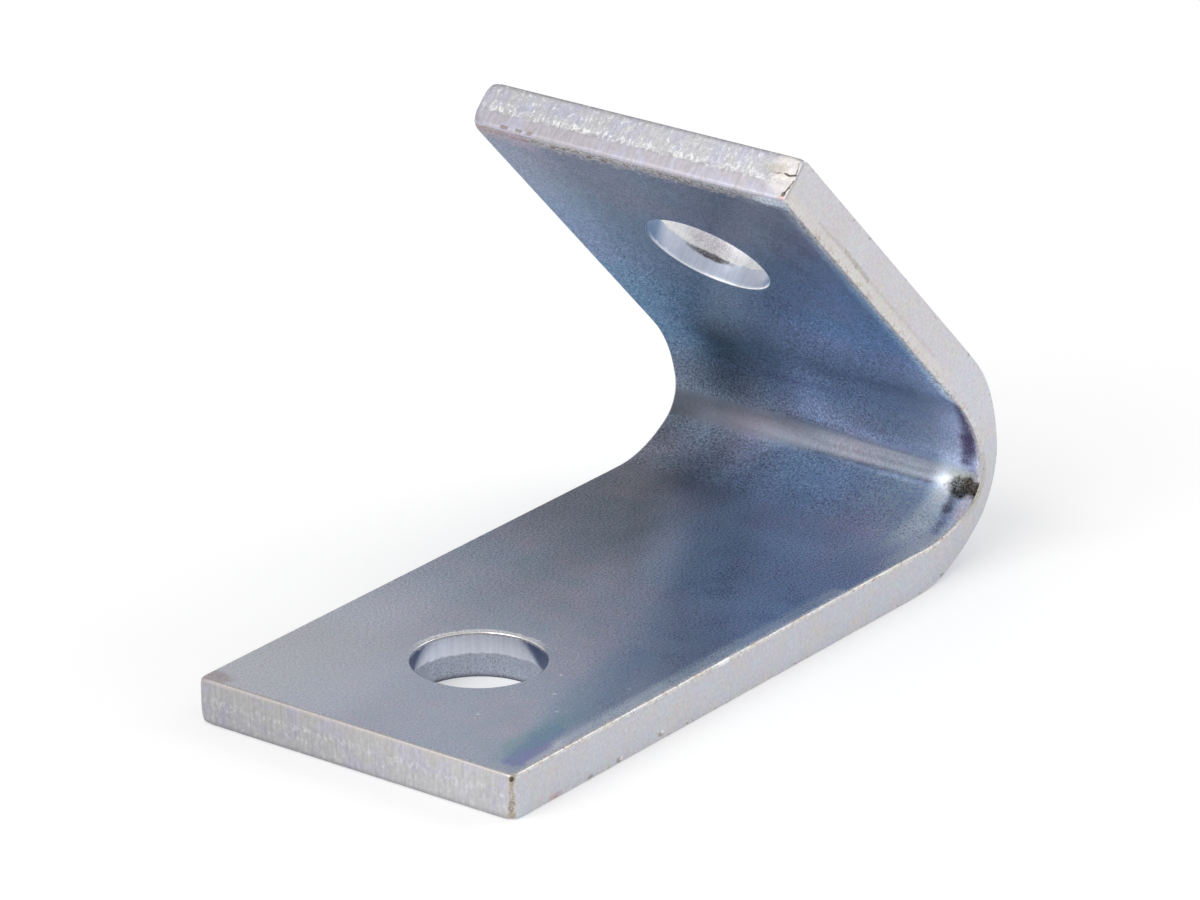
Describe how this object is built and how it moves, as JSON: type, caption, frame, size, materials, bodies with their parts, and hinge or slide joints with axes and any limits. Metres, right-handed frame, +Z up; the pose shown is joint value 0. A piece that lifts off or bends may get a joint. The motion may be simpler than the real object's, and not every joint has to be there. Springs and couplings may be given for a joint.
{
  "type": "strut angle fitting",
  "caption": "Flat steel bar folded to a sharp angle, with a round bolt hole near the free end of each leg.",
  "frame": {"origin": "centre of the base leg's bolt hole, on the seating face underneath", "axes": "+X along the base leg from its free end towards the bend, +Y across the bar, +Z up, out of the base leg's inside face"},
  "size_m": [0.0863, 0.0406, 0.0551],
  "materials": {
    "plated_steel": "bright zinc plate, faintly blue, over rolled and cropped steel"
  },
  "bodies": {
    "root": {"angle_fitting": "plated_steel"}
  },
  "joints": []
}
